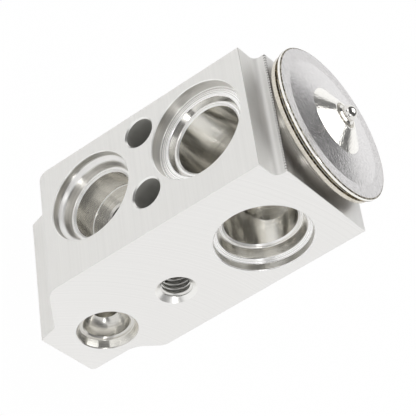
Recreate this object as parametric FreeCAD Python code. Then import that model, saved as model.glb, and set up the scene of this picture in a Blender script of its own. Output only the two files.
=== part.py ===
import FreeCAD, Part
import math
import os

# Right-angle block expansion valve for a vehicle's air conditioning, in millimetres.
# +Z runs up the valve axis to the power head, +X is the outward normal of the pipe face, and -Y is the
# outward normal of the evaporator face. The origin is on the valve axis, in the bottom end face.

# Block: an extrusion along X, cut from bar with the profile of block_profile()
BLOCK_HEIGHT = 57.9
PIPE_FACE_X = 14.95
BLIND_FACE_X = -11.45
EVAPORATOR_FACE_Y = -15.9
BACK_FACE_Y = 11.15
FOOT_FRONT_Y = -6.45
FOOT_BACK_Y = 7.3
FRONT_STEP_Y = -7.54
FRONT_STEP_Z = 4.0
FRONT_SLANT_TOP_Z = 10.15
FRONT_SLANT_RADIUS = 4.0
FOOT_CORNER_RADIUS = 0.9
BACK_RAMP_START_Z = 9.9
BACK_COVE_RADIUS = 4.5
BACK_RAMP_RADIUS = 2.4
REBATE_WALL_Y = -11.35
REBATE_SHELF_Z = 55.66
REBATE_COVE_RADIUS = 1.3
EDGE_BREAK = 0.15

# Ports: heights of their axes, then the steps of each form cutter, with depths measured from the mouth.
# The suction bores differ by 0.05 in radius, so the outlet's runs cleanly into the inlet's.
SUCTION_Z = 44.65
EVAPORATOR_INLET_Z = 21.2
LIQUID_Z = 9.8
# The evaporator inlet's shoulder is rounded on both sides, the other two are nearly sharp.
SUCTION_IN = {
    "pilot_radius": 9.4, "pilot_depth": 2.2, "shoulder_depth": 2.35, "land_depth": 3.5, "bore_radius": 6.45,
    "pilot_corner": 0, "seal_corner": 0.4,
}
SUCTION_OUT = {
    "pilot_radius": 8.6, "pilot_depth": 1.4, "shoulder_depth": 1.85, "land_depth": 3.75, "bore_radius": 6.4,
    "pilot_corner": 0, "seal_corner": 0.4,
}
EVAPORATOR_IN = {
    "pilot_radius": 8.6, "pilot_depth": 1.4, "shoulder_depth": 1.85, "land_depth": 3.45, "bore_radius": 6.4,
    "pilot_corner": 0.7, "seal_corner": 1.0,
}
LARGE_SEAL_OUTER = 7.7
LARGE_SEAL_INNER = 7.15
LARGE_LAND_RADIUS = 6.7
SUCTION_END_Y = 6.4
EVAPORATOR_IN_DEPTH = 8.2
OUTLET_PASSAGE_RADIUS = 2.5
OUTLET_PASSAGE_CHAMFER = 0.36
OUTLET_PASSAGE_END_Y = 1.9
LIQUID_MOUTH_RADIUS = 5.4
LIQUID_CONE_RADIUS = 4.85
LIQUID_CONE_DEPTH = 1.4
LIQUID_LIP_RADIUS = 4.3
LIQUID_BORE_RADIUS = 4.05
LIQUID_BORE_DEPTH = 3.5
LIQUID_PASSAGE_RADIUS = 2.3
DRILL_POINT_HALF_ANGLE = 59

# Fixing holes
BOLT_HOLE_Z = 33.1
BOLT_HOLE_X = 6.8
BOLT_HOLE_RADIUS = 2.8
TAPPED_Z = 25.55
TAPPED_RADIUS = 2.5
TAPPED_MOUTH_RADIUS = 3.7
TAPPED_MOUTH_HALF_ANGLE = 50
TAPPED_DEPTH = 10.5

# Valve axis bores in the block, from the bottom face up
SCREW_THREAD_RADIUS = 5.0
SCREW_THREAD_TOP_Z = 4.0
CHAMBER_RADIUS = 4.4
CHAMBER_TOP_Z = 15.5
SEAT_MOUTH_RADIUS = 2.4
ORIFICE_RADIUS = 1.3
SEAT_TOP_Z = CHAMBER_TOP_Z + SEAT_MOUTH_RADIUS - ORIFICE_RADIUS
ROD_GUIDE_RADIUS = 1.25
SEAL_POCKET_RADIUS = 2.7
SEAL_POCKET_Z = 35.4
HUB_HOLE_RADIUS = 4.4
HEAD_POCKET_RADIUS = 9.0
HEAD_POCKET_Z = 52.6
HEAD_POCKET_CHAMFER = 1.5

# Power head
NECK_THREAD_RADIUS = 8.98
NECK_RELIEF_RADIUS = 8.2
NECK_BORE_RADIUS = 6.3
NECK_BOTTOM_Z = 53.0
NECK_FLANGE_RADIUS = 10.6
NECK_FLANGE_THICKNESS = 0.9
SHEET = 0.9
LOWER_RIM_RADIUS = 14.35
LOWER_RIM_Z = 59.8
LOWER_RIM_THICKNESS = 1.1
DIAPHRAGM_THICKNESS = 0.15
DIAPHRAGM_RADIUS = 14.1
DIAPHRAGM_CENTRE_Z = 61.25
UPPER_RIM_RADIUS = 14.75
UPPER_RIM_Z = 62.1
DISH_RADIUS = 12.05
CROWN_BASE_RADIUS = 6.35
CROWN_BASE_Z = 62.78
CROWN_TOP_RADIUS = 2.76
CROWN_TOP_Z = 64.65
FILL_HOLE_RADIUS = 1.15
TIP_BALL_RADIUS = 1.45
TIP_BALL_Z = 65.35
TIP_NECK_DROP = 0.35

# Moving column on the valve axis
STROKE = 0.4
ROD_RADIUS = 1.2
ROD_TIP_RADIUS = 0.8
ROD_TOP_Z = 55.0
BALL_RADIUS = 2.1
BALL_CLEARANCE = 0.08
SHAFT_RADIUS = 3.0
SHAFT_BOTTOM_Z = 51.9
RECEIVER_RADIUS = 8.0
RECEIVER_TOP_Z = DIAPHRAGM_CENTRE_Z - 0.05
RECEIVER_BOTTOM_Z = BLOCK_HEIGHT + NECK_FLANGE_THICKNESS + SHEET + STROKE + 0.03
RECEIVER_HUB_HEIGHT = 0.9
HOLDER_FLANGE_RADIUS = 3.3
HOLDER_FLANGE_Z = 11.6
HOLDER_FLANGE_THICKNESS = 0.8
HOLDER_BOSS_RADIUS = 2.25

# Spring and adjusting screw
SPRING_MEAN_RADIUS = 2.9
SPRING_WIRE_RADIUS = 0.4
SCREW_BOTTOM_Z = 0.8
SCREW_TOP_Z = 6.8
SCREW_LAND_RADIUS = 4.35
SCREW_GROOVE_RADIUS = 3.3
SCREW_GROOVE_Z = (4.7, 6.1)
SCREW_PEG_RADIUS = 2.1
SCREW_PEG_HEIGHT = 1.0
HEX_ACROSS_FLATS = 5.0
HEX_DEPTH = 2.6

X_AXIS = FreeCAD.Vector(1, 0, 0)
Y_AXIS = FreeCAD.Vector(0, 1, 0)
Z_AXIS = FreeCAD.Vector(0, 0, 1)
ORIGIN = FreeCAD.Vector(0, 0, 0)


def vec(x, y, z):
    return FreeCAD.Vector(x, y, z)


# General helpers

def rounded_wire(points):
    """Closed wire through (vector, corner radius) pairs; each round corner is a tangent arc."""
    count = len(points)
    edges = []
    ends = []
    for i, (corner, radius) in enumerate(points):
        before = (points[i - 1][0] - corner).normalize()
        after = (points[(i + 1) % count][0] - corner).normalize()
        if not radius:
            ends.append((corner, corner))
            continue
        half = before.getAngle(after) / 2
        reach = radius / math.tan(half)
        middle = corner + (before + after).normalize() * (radius / math.sin(half) - radius)
        start = corner + before * reach
        end = corner + after * reach
        ends.append((start, end))
        edges.append(Part.Arc(start, middle, end).toShape())
    for i in range(count):
        start = ends[i][1]
        end = ends[(i + 1) % count][0]
        if start.distanceToPoint(end) > 1e-6:
            edges.append(Part.LineSegment(start, end).toShape())
    return Part.Wire(Part.__sortEdges__(edges))


def turned(profile):
    """Solid of revolution about Z from (radius, height) or (radius, height, corner radius) points."""
    points = []
    for radius, height, *corner in profile:
        points.append((vec(radius, 0, height), corner[0] if corner else 0))
    return Part.Face(rounded_wire(points)).revolve(ORIGIN, Z_AXIS, 360)


def rod(radius, bottom, top):
    """Cylinder on the valve axis."""
    return Part.makeCylinder(radius, top - bottom, vec(0, 0, bottom))


def cone(bottom_radius, top_radius, bottom, top):
    """Cone on the valve axis."""
    return Part.makeCone(bottom_radius, top_radius, top - bottom, vec(0, 0, bottom))


def into_evaporator_face(cutter, x, z):
    """Place a cutter made up +Z from the origin so that it enters the evaporator face."""
    cutter.rotate(ORIGIN, X_AXIS, -90)
    cutter.translate(vec(x, EVAPORATOR_FACE_Y, z))
    return cutter


def into_pipe_face(cutter, z):
    """Place a cutter made up +Z from the origin so that it enters the pipe face."""
    cutter.rotate(ORIGIN, Y_AXIS, -90)
    cutter.translate(vec(PIPE_FACE_X, 0, z))
    return cutter


def polar(shape, count):
    """Copies of a shape turned evenly about the valve axis."""
    copies = []
    for i in range(count):
        copy = shape.copy()
        copy.rotate(ORIGIN, Z_AXIS, 360 * i / count)
        copies.append(copy)
    return copies


# Block

def block_profile():
    """Section of the bar in the YZ plane: stepped foot, slanted front, ramped back and top front rebate."""
    ramp_end_z = BACK_RAMP_START_Z + BACK_FACE_Y - FOOT_BACK_Y
    corners = [
        (FOOT_FRONT_Y, 0, 0),
        (FOOT_BACK_Y, 0, FOOT_CORNER_RADIUS),
        (FOOT_BACK_Y, BACK_RAMP_START_Z, BACK_COVE_RADIUS),
        (BACK_FACE_Y, ramp_end_z, BACK_RAMP_RADIUS),
        (BACK_FACE_Y, BLOCK_HEIGHT, 0),
        (REBATE_WALL_Y, BLOCK_HEIGHT, 0),
        (REBATE_WALL_Y, REBATE_SHELF_Z, REBATE_COVE_RADIUS),
        (EVAPORATOR_FACE_Y, REBATE_SHELF_Z, 0),
        (EVAPORATOR_FACE_Y, FRONT_SLANT_TOP_Z, FRONT_SLANT_RADIUS),
        (FRONT_STEP_Y, FRONT_STEP_Z, 0),
    ]
    return rounded_wire([(vec(BLIND_FACE_X, y, z), radius) for y, z, radius in corners])


def large_port(pilot_radius, pilot_depth, shoulder_depth, land_depth, bore_radius, pilot_corner, seal_corner,
               bore_depth):
    """Form-cut port: pilot, sloped shoulder, tapered seal wall, land with a lip, and the bore behind."""
    return turned([
        (0, -1),
        (pilot_radius + EDGE_BREAK + 1, -1),
        (pilot_radius, EDGE_BREAK),
        (pilot_radius, pilot_depth, pilot_corner),
        (LARGE_SEAL_OUTER, shoulder_depth, seal_corner),
        (LARGE_SEAL_INNER, land_depth),
        (LARGE_LAND_RADIUS, land_depth),
        (bore_radius, land_depth + LARGE_LAND_RADIUS - bore_radius),
        (bore_radius, bore_depth),
        (0, bore_depth),
    ])


def suction_inlet():
    """From the evaporator: the bore runs past the valve axis and forms the elbow."""
    port = large_port(**SUCTION_IN, bore_depth=SUCTION_END_Y - EVAPORATOR_FACE_Y)
    return into_evaporator_face(port, 0, SUCTION_Z)


def suction_outlet():
    """To the compressor: the bore meets the suction inlet's at the valve axis."""
    return into_pipe_face(large_port(**SUCTION_OUT, bore_depth=PIPE_FACE_X), SUCTION_Z)


def evaporator_inlet():
    """To the evaporator: a blind bore with a flat floor, and the chamfered passage from the orifice."""
    port = large_port(**EVAPORATOR_IN, bore_depth=EVAPORATOR_IN_DEPTH)
    passage = rod(OUTLET_PASSAGE_RADIUS, EVAPORATOR_IN_DEPTH, OUTLET_PASSAGE_END_Y - EVAPORATOR_FACE_Y)
    mouth_radius = OUTLET_PASSAGE_RADIUS + OUTLET_PASSAGE_CHAMFER
    chamfer_end = EVAPORATOR_IN_DEPTH + OUTLET_PASSAGE_CHAMFER
    mouth = cone(mouth_radius, OUTLET_PASSAGE_RADIUS, EVAPORATOR_IN_DEPTH, chamfer_end)
    return into_evaporator_face(port.fuse([mouth, passage]), 0, EVAPORATOR_INLET_Z)


def liquid_inlet():
    """From the condenser: a small stepped port with a drill point, and the passage to the chamber."""
    slope = math.tan(math.radians(DRILL_POINT_HALF_ANGLE))
    lip_depth = LIQUID_CONE_DEPTH + LIQUID_LIP_RADIUS - LIQUID_BORE_RADIUS
    port = turned([
        (0, -1),
        (LIQUID_MOUTH_RADIUS + EDGE_BREAK + 1, -1),
        (LIQUID_MOUTH_RADIUS, EDGE_BREAK),
        (LIQUID_CONE_RADIUS, LIQUID_CONE_DEPTH),
        (LIQUID_LIP_RADIUS, LIQUID_CONE_DEPTH),
        (LIQUID_BORE_RADIUS, lip_depth),
        (LIQUID_BORE_RADIUS, LIQUID_BORE_DEPTH),
        (LIQUID_PASSAGE_RADIUS, LIQUID_BORE_DEPTH + (LIQUID_BORE_RADIUS - LIQUID_PASSAGE_RADIUS) / slope),
        (LIQUID_PASSAGE_RADIUS, PIPE_FACE_X),
        (0, PIPE_FACE_X),
    ])
    return into_pipe_face(port, LIQUID_Z)


def tapped_hole():
    """Tap drill of the pipe clamp's M6x1 hole, with its countersink and drill point."""
    point = TAPPED_RADIUS / math.tan(math.radians(DRILL_POINT_HALF_ANGLE))
    mouth_slope = math.tan(math.radians(TAPPED_MOUTH_HALF_ANGLE))
    hole = turned([
        (0, -1),
        (TAPPED_MOUTH_RADIUS + mouth_slope, -1),
        (TAPPED_RADIUS, (TAPPED_MOUTH_RADIUS - TAPPED_RADIUS) / mouth_slope),
        (TAPPED_RADIUS, TAPPED_DEPTH),
        (0, TAPPED_DEPTH + point),
    ])
    return into_pipe_face(hole, TAPPED_Z)


def bolt_hole(x):
    """Clearance hole for one M5 screw, right through from front to back, broken at both ends."""
    length = BACK_FACE_Y - EVAPORATOR_FACE_Y
    mouth = BOLT_HOLE_RADIUS + 1.25
    hole = turned([
        (0, -1),
        (mouth, -1),
        (BOLT_HOLE_RADIUS, 0.25),
        (BOLT_HOLE_RADIUS, length - 0.25),
        (mouth, length + 1),
        (0, length + 1),
    ])
    return into_evaporator_face(hole, x, BOLT_HOLE_Z)


def axis_bores():
    """Everything bored along the valve axis, from the screw's thread up to the head's pocket."""
    screw_entry = cone(SCREW_THREAD_RADIUS + 0.4, SCREW_THREAD_RADIUS, 0, 0.4)
    screw_thread = rod(SCREW_THREAD_RADIUS, -1, SCREW_THREAD_TOP_Z)
    chamber = rod(CHAMBER_RADIUS, 0, CHAMBER_TOP_Z)
    seat = cone(SEAT_MOUTH_RADIUS, ORIFICE_RADIUS, CHAMBER_TOP_Z, SEAT_TOP_Z)
    orifice = rod(ORIFICE_RADIUS, CHAMBER_TOP_Z, EVAPORATOR_INLET_Z)
    guide = rod(ROD_GUIDE_RADIUS, EVAPORATOR_INLET_Z, SUCTION_Z)
    seal_pocket = rod(SEAL_POCKET_RADIUS, SEAL_POCKET_Z, SUCTION_Z)
    hub_hole = rod(HUB_HOLE_RADIUS, SUCTION_Z, BLOCK_HEIGHT)
    head_pocket = rod(HEAD_POCKET_RADIUS, HEAD_POCKET_Z, BLOCK_HEIGHT + 1)
    seat_radius = HEAD_POCKET_RADIUS + HEAD_POCKET_CHAMFER
    seal_seat = cone(HEAD_POCKET_RADIUS, seat_radius, BLOCK_HEIGHT - HEAD_POCKET_CHAMFER, BLOCK_HEIGHT)
    lower = [screw_entry, screw_thread, chamber, seat, orifice, guide]
    upper = [seal_pocket, hub_hole, head_pocket, seal_seat]
    return lower + upper


def valve_block():
    bar = Part.Face(block_profile()).extrude(vec(PIPE_FACE_X - BLIND_FACE_X, 0, 0))
    cutters = [suction_inlet(), suction_outlet(), evaporator_inlet(), liquid_inlet(), tapped_hole()]
    cutters += [bolt_hole(-BOLT_HOLE_X), bolt_hole(BOLT_HOLE_X)]
    cutters += axis_bores()
    return bar.cut(cutters)


# Power head

def threaded_neck():
    """Turned M18x1 seat with a thread relief for the seal, and the flange that the shell is welded to."""
    flange_top = BLOCK_HEIGHT + NECK_FLANGE_THICKNESS
    return turned([
        (NECK_BORE_RADIUS, NECK_BOTTOM_Z),
        (NECK_THREAD_RADIUS - 0.6, NECK_BOTTOM_Z),
        (NECK_THREAD_RADIUS, NECK_BOTTOM_Z + 0.6),
        (NECK_THREAD_RADIUS, 55.7),
        (NECK_RELIEF_RADIUS, 56.2),
        (NECK_RELIEF_RADIUS, BLOCK_HEIGHT),
        (NECK_FLANGE_RADIUS, BLOCK_HEIGHT),
        (NECK_FLANGE_RADIUS, flange_top),
        (NECK_BORE_RADIUS, flange_top),
    ])


def lower_cover():
    """Pressed shell: floor on the neck, cone up to the rim, and the flat rim that the diaphragm seals on."""
    floor = BLOCK_HEIGHT + NECK_FLANGE_THICKNESS
    rim_top = LOWER_RIM_Z + LOWER_RIM_THICKNESS
    return turned([
        (NECK_BORE_RADIUS + 0.3, floor),
        (10.4, floor, 1.0),
        (12.2, LOWER_RIM_Z, 0.8),
        (LOWER_RIM_RADIUS, LOWER_RIM_Z, 0.25),
        (LOWER_RIM_RADIUS, rim_top - 0.2),
        (LOWER_RIM_RADIUS - 0.25, rim_top),
        (12.3, rim_top, 0.6),
        (10.2, floor + SHEET, 1.0),
        (NECK_BORE_RADIUS + 0.3, floor + SHEET),
    ])


def diaphragm():
    """Formed disc with a flat centre, one corrugation and a flat clamped edge."""
    edge = LOWER_RIM_Z + LOWER_RIM_THICKNESS
    centre = DIAPHRAGM_CENTRE_Z
    lower = [
        (0, centre, 0),
        (8.7, centre, 0.5),
        (9.8, centre - 0.28, 0.6),
        (11.0, centre - 0.2, 0.6),
        (12.0, edge, 0.6),
        (DIAPHRAGM_RADIUS, edge, 0),
    ]
    upper = [(radius, height + DIAPHRAGM_THICKNESS, corner) for radius, height, corner in reversed(lower)]
    return turned(lower + upper)


def upper_cover():
    """Pressed lid: rim, shallow dish rising to the bend line, and the conical crown with its fill hole."""
    rim_bottom = LOWER_RIM_Z + LOWER_RIM_THICKNESS + DIAPHRAGM_THICKNESS
    return turned([
        (DISH_RADIUS + 0.6, rim_bottom, 0.4),
        (DIAPHRAGM_RADIUS + 0.1, rim_bottom),
        (UPPER_RIM_RADIUS, rim_bottom + 0.3),
        (UPPER_RIM_RADIUS, UPPER_RIM_Z, 0.3),
        (DISH_RADIUS, UPPER_RIM_Z, 1.5),
        (CROWN_BASE_RADIUS, CROWN_BASE_Z, 0.35),
        (CROWN_TOP_RADIUS, CROWN_TOP_Z, 0.3),
        (FILL_HOLE_RADIUS, CROWN_TOP_Z),
        (FILL_HOLE_RADIUS, CROWN_TOP_Z - SHEET),
        (CROWN_TOP_RADIUS - 0.4, CROWN_TOP_Z - SHEET, 0.3),
        (CROWN_BASE_RADIUS - 0.4, CROWN_BASE_Z - SHEET, 0.5),
        (DISH_RADIUS, UPPER_RIM_Z - SHEET, 0.5),
    ])


def sealing_plug():
    """Plug welded into the fill hole: stem, concave skirt and the ball left on its end."""
    skirt_top = TIP_BALL_Z - TIP_NECK_DROP
    skirt_radius = 1.5
    skirt_foot = CROWN_TOP_RADIUS - 0.3
    stem_bottom = CROWN_TOP_Z - SHEET
    foot = vec(skirt_foot, 0, CROWN_TOP_Z)
    hollow = vec((skirt_foot + skirt_radius) / 2 - 0.03, 0, (CROWN_TOP_Z + skirt_top) / 2 - 0.05)
    waist = vec(skirt_radius, 0, skirt_top)
    neck = vec(math.sqrt(TIP_BALL_RADIUS**2 - TIP_NECK_DROP**2), 0, skirt_top)
    side = vec(TIP_BALL_RADIUS, 0, TIP_BALL_Z)
    top = vec(0, 0, TIP_BALL_Z + TIP_BALL_RADIUS)
    below = [
        vec(0, 0, stem_bottom),
        vec(FILL_HOLE_RADIUS, 0, stem_bottom),
        vec(FILL_HOLE_RADIUS, 0, CROWN_TOP_Z),
        foot,
    ]
    edges = [Part.LineSegment(start, end).toShape() for start, end in zip(below, below[1:])]
    edges += [
        Part.Arc(foot, hollow, waist).toShape(),
        Part.LineSegment(waist, neck).toShape(),
        Part.Arc(neck, side, top).toShape(),
        Part.LineSegment(top, below[0]).toShape(),
    ]
    return Part.Face(Part.Wire(edges)).revolve(ORIGIN, Z_AXIS, 360)


def head_seal():
    section = 0.66
    centre_radius = NECK_RELIEF_RADIUS + section + 0.01
    return Part.makeTorus(centre_radius, section, vec(0, 0, BLOCK_HEIGHT - section - 0.01))


# Moving column

def diaphragm_receiver():
    """Disc under the diaphragm that stops on the lower cover's floor, with a hub that hangs into the neck."""
    hub_bottom = RECEIVER_BOTTOM_Z - RECEIVER_HUB_HEIGHT
    return turned([
        (0, hub_bottom),
        (4.2, hub_bottom, 0.3),
        (4.2, RECEIVER_BOTTOM_Z, 0.4),
        (RECEIVER_RADIUS, RECEIVER_BOTTOM_Z, 0.2),
        (RECEIVER_RADIUS, RECEIVER_TOP_Z, 0.3),
        (0, RECEIVER_TOP_Z),
    ])


def sensing_shaft():
    """Aluminium shaft from the receiver's hub down into the suction vapour, hollow for the rod's end."""
    top = RECEIVER_BOTTOM_Z - RECEIVER_HUB_HEIGHT
    return turned([
        (ROD_RADIUS, SHAFT_BOTTOM_Z),
        (SHAFT_RADIUS, SHAFT_BOTTOM_Z, 0.5),
        (SHAFT_RADIUS, top - 1.2),
        (4.0, top - 0.7),
        (4.0, top),
        (0, top),
        (0, ROD_TOP_Z),
        (ROD_RADIUS, ROD_TOP_Z),
    ])


def ball_z():
    """Height of the ball's centre: just below the place where it would touch the 45 degree seat."""
    contact_radius = BALL_RADIUS * math.cos(math.radians(45))
    contact_z = SEAT_TOP_Z - (contact_radius - ORIFICE_RADIUS)
    return contact_z - contact_radius - BALL_CLEARANCE


def operating_rod():
    """Ground rod with a thinner end that passes the orifice and pushes the ball."""
    return turned([
        (0, ball_z() + BALL_RADIUS),
        (ROD_TIP_RADIUS, ball_z() + BALL_RADIUS),
        (ROD_TIP_RADIUS, 19.2),
        (ROD_RADIUS, 19.8),
        (ROD_RADIUS, ROD_TOP_Z),
        (0, ROD_TOP_Z),
    ])


def valve_ball():
    return Part.makeSphere(BALL_RADIUS, vec(0, 0, ball_z()))


def ball_holder():
    """Cup for the ball, flange for the spring, and a peg that centres the spring."""
    flange_top = HOLDER_FLANGE_Z + HOLDER_FLANGE_THICKNESS
    blank = turned([
        (0, HOLDER_FLANGE_Z - 1.1),
        (SCREW_PEG_RADIUS, HOLDER_FLANGE_Z - 1.1, 0.3),
        (SCREW_PEG_RADIUS, HOLDER_FLANGE_Z),
        (HOLDER_FLANGE_RADIUS, HOLDER_FLANGE_Z, 0.15),
        (HOLDER_FLANGE_RADIUS, flange_top, 0.15),
        (HOLDER_BOSS_RADIUS, flange_top),
        (HOLDER_BOSS_RADIUS, flange_top + 1.5),
        (0, flange_top + 1.5),
    ])
    return blank.cut(Part.makeSphere(BALL_RADIUS, vec(0, 0, ball_z())))


def damper_spring():
    """Sheet ring on the holder's flange with three sprung legs that rub on the chamber's wall."""
    sheet = 0.2
    bottom = HOLDER_FLANGE_Z + HOLDER_FLANGE_THICKNESS
    ring = rod(HOLDER_FLANGE_RADIUS, bottom, bottom + sheet)
    ring = ring.cut(rod(HOLDER_BOSS_RADIUS, bottom - 1, bottom + 1))
    outer = CHAMBER_RADIUS - 0.15
    leg = rounded_wire([
        (vec(2.8, -0.8, bottom), 0),
        (vec(outer, -0.8, bottom), 0.5),
        (vec(outer, -0.8, bottom + 1.7), 0),
        (vec(outer - sheet, -0.8, bottom + 1.7), 0),
        (vec(outer - sheet, -0.8, bottom + sheet), 0.3),
        (vec(2.8, -0.8, bottom + sheet), 0),
    ])
    return ring.fuse(polar(Part.Face(leg).extrude(vec(0, 1.6, 0)), 3)).removeSplitter()


# Seal of the rod

def rod_seal():
    section = 0.7
    return Part.makeTorus(ROD_GUIDE_RADIUS + section - 0.02, section, vec(0, 0, SEAL_POCKET_Z + section))


def seal_retainer():
    """Push nut: a thin ring with six teeth that bite into the pocket's wall."""
    bottom = SEAL_POCKET_Z + 1.42
    thickness = 0.3
    ring = rod(2.2, bottom, bottom + thickness)
    tooth = Part.makeBox(1.2, 1.1, thickness, vec(1.6, -0.55, bottom))
    nut = ring.fuse(polar(tooth, 6)).common(rod(SEAL_POCKET_RADIUS, bottom, bottom + thickness))
    return nut.cut(rod(ROD_GUIDE_RADIUS + 0.1, bottom - 1, bottom + 1)).removeSplitter()


# Spring and adjusting screw

def valve_spring():
    """Helical spring with closed ends ground flat, between the screw and the ball holder."""
    bottom = SCREW_TOP_Z
    top = HOLDER_FLANGE_Z - 0.02
    pitch = (top - bottom) / 4.25
    height = top - bottom
    helix = Part.makeHelix(pitch, height, SPRING_MEAN_RADIUS)
    helix.translate(vec(0, 0, bottom))
    section = Part.Wire(Part.makeCircle(SPRING_WIRE_RADIUS, vec(SPRING_MEAN_RADIUS, 0, bottom), Y_AXIS))
    coil = Part.Wire(helix).makePipeShell([section], True, True)
    return coil.common(rod(SPRING_MEAN_RADIUS + 1, bottom, top))


def adjusting_screw():
    """M10x1 screw with a hexagon socket, a groove for its seal and a peg for the spring."""
    groove_bottom, groove_top = SCREW_GROOVE_Z
    blank = turned([
        (0, SCREW_BOTTOM_Z),
        (SCREW_THREAD_RADIUS - 0.45, SCREW_BOTTOM_Z),
        (SCREW_THREAD_RADIUS - 0.03, SCREW_BOTTOM_Z + 0.42),
        (SCREW_THREAD_RADIUS - 0.03, 3.0),
        (SCREW_LAND_RADIUS, 3.3),
        (SCREW_LAND_RADIUS, groove_bottom),
        (SCREW_GROOVE_RADIUS, groove_bottom),
        (SCREW_GROOVE_RADIUS, groove_top),
        (SCREW_LAND_RADIUS, groove_top),
        (SCREW_LAND_RADIUS, SCREW_TOP_Z, 0.2),
        (SCREW_PEG_RADIUS, SCREW_TOP_Z),
        (SCREW_PEG_RADIUS, SCREW_TOP_Z + SCREW_PEG_HEIGHT, 0.3),
        (0, SCREW_TOP_Z + SCREW_PEG_HEIGHT),
    ])
    corner_radius = HEX_ACROSS_FLATS / 2 / math.cos(math.radians(30))
    first_corner = Part.Vertex(vec(corner_radius, 0, SCREW_BOTTOM_Z))
    corners = [corner.Point for corner in polar(first_corner, 6)]
    socket = Part.Face(Part.makePolygon(corners + corners[:1])).extrude(vec(0, 0, HEX_DEPTH))
    lead_in = cone(corner_radius + 0.1, corner_radius - 0.5, SCREW_BOTTOM_Z, SCREW_BOTTOM_Z + 0.6)
    return blank.cut([socket, lead_in])


def screw_seal():
    section = 0.52
    middle = sum(SCREW_GROOVE_Z) / 2
    return Part.makeTorus(SCREW_GROOVE_RADIUS + section + 0.02, section, vec(0, 0, middle))


BUILDERS = [
    valve_block, upper_cover, sealing_plug, diaphragm, lower_cover, threaded_neck, head_seal,
    diaphragm_receiver, sensing_shaft, operating_rod, rod_seal, seal_retainer, valve_ball, ball_holder,
    valve_spring, damper_spring, adjusting_screw, screw_seal,
]

os.makedirs("parts", exist_ok=True)
for builder in BUILDERS:
    shape = builder()
    shape.exportStep(f"parts/{builder.__name__}.step")
    print(builder.__name__, shape.ShapeType, len(shape.Solids), round(shape.Volume, 2), shape.isValid())
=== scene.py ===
"""Looks of a right-angle block expansion valve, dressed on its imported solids.

The block is a length of aluminium extrusion, milled on its two ends and bored with form cutters. The power
head on top of it is pressed from stainless sheet. All lengths in the classes below are millimetres in the
row frame, and meshes are written in metres.
"""
import logging
import math
from dataclasses import dataclass, field
from enum import Enum
from typing import Callable, Sequence

import bmesh
import bpy
from mathutils import Matrix, Vector


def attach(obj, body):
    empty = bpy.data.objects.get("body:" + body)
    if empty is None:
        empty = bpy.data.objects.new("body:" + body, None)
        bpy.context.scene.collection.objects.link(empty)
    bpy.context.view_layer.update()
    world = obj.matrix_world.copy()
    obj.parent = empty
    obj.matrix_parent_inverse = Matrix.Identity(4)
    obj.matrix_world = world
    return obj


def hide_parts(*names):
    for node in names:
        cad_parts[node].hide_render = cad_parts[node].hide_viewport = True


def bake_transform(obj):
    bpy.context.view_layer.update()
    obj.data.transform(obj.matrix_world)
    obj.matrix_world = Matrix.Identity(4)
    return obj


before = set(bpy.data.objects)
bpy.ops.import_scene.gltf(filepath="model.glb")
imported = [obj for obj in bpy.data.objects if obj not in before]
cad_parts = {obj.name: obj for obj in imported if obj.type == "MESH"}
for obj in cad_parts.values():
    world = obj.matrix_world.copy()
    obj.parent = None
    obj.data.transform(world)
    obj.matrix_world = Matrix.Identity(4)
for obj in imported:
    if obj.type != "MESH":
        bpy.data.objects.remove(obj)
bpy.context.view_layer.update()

LOG = logging.getLogger("expansion_valve")
MM = 0.001
# How round shapes are divided: angle of a step on a corner, sides of a turned solid, steps of a helix's turn.
ROUND_STEP = math.radians(6)
TURN_SEGMENTS = 144
HELIX_STEPS = 48
THREAD_HALF_ANGLE = math.radians(30)
# Cutters start this far outside the face, and points closer than this are merged, in millimetres.
OVERCUT = 1.0
MERGE_MM = 1e-5
# Edges sharper than this stay sharp. The block's cuts meet at edges as shallow as 11 degrees.
SMOOTH_ANGLE = math.radians(28)
CUT_ANGLE = math.radians(9)
# A face looks along an axis when its normal's share of it is over the first, and across it under the second.
FACING = 0.99
ACROSS = 0.1
# A port's face is its wall, and not a shoulder, when its normal's share of the port's axis is under this.
WALL_TILT = 0.6
# Where most of a noise texture's values lie.
NOISE_RANGE = (0.32, 0.68)

Corner = tuple[float, float, float]
Outline = list[tuple[float, float]]
Face = bpy.types.MeshPolygon
Node = bpy.types.Node
Object = bpy.types.Object
Socket = bpy.types.NodeSocket
Tree = bpy.types.NodeTree


# Small helpers for colours and nodes

def linear(hex_colour: str) -> tuple[float, float, float, float]:
    """Linear RGBA of an sRGB colour in six hex digits."""
    def channel(value: float) -> float:
        """Linear value of one sRGB channel."""
        return value / 12.92 if value <= 0.04045 else ((value + 0.055) / 1.055) ** 2.4

    red, green, blue = (channel(int(hex_colour[i:i + 2], 16) / 255) for i in (0, 2, 4))
    return red, green, blue, 1.0


def add(tree: Tree, kind: str, inputs: dict | None = None, **settings: object) -> Node:
    """Add one node with its settings and links.

    Args:
        tree: The shader or geometry tree.
        kind: The node's type name.
        inputs: Value or output socket for each input, by name or index.
        settings: Properties of the node.

    Returns:
        The new node.
    """
    node = tree.nodes.new(kind)
    for name, value in settings.items():
        setattr(node, name, value)
    for key, value in (inputs or {}).items():
        if isinstance(value, Socket):
            tree.links.new(value, node.inputs[key])
        else:
            node.inputs[key].default_value = value
    return node


def emptied(owner: bpy.types.Material | bpy.types.World) -> Tree:
    """Node tree of a material or a world, with nothing in it."""
    owner.use_nodes = True
    owner.node_tree.nodes.clear()
    return owner.node_tree


def geometry_tree(name: str, lengths: Sequence[str], counts: Sequence[str] = ()) -> Tree:
    """Geometry tree with named inputs and a Geometry output, and no nodes yet."""
    tree = bpy.data.node_groups.new(name, "GeometryNodeTree")
    for label in (*lengths, *counts):
        kind = "NodeSocketInt" if label in counts else "NodeSocketFloat"
        tree.interface.new_socket(label, in_out="INPUT", socket_type=kind)
    tree.interface.new_socket("Geometry", in_out="OUTPUT", socket_type="NodeSocketGeometry")
    return tree


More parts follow.
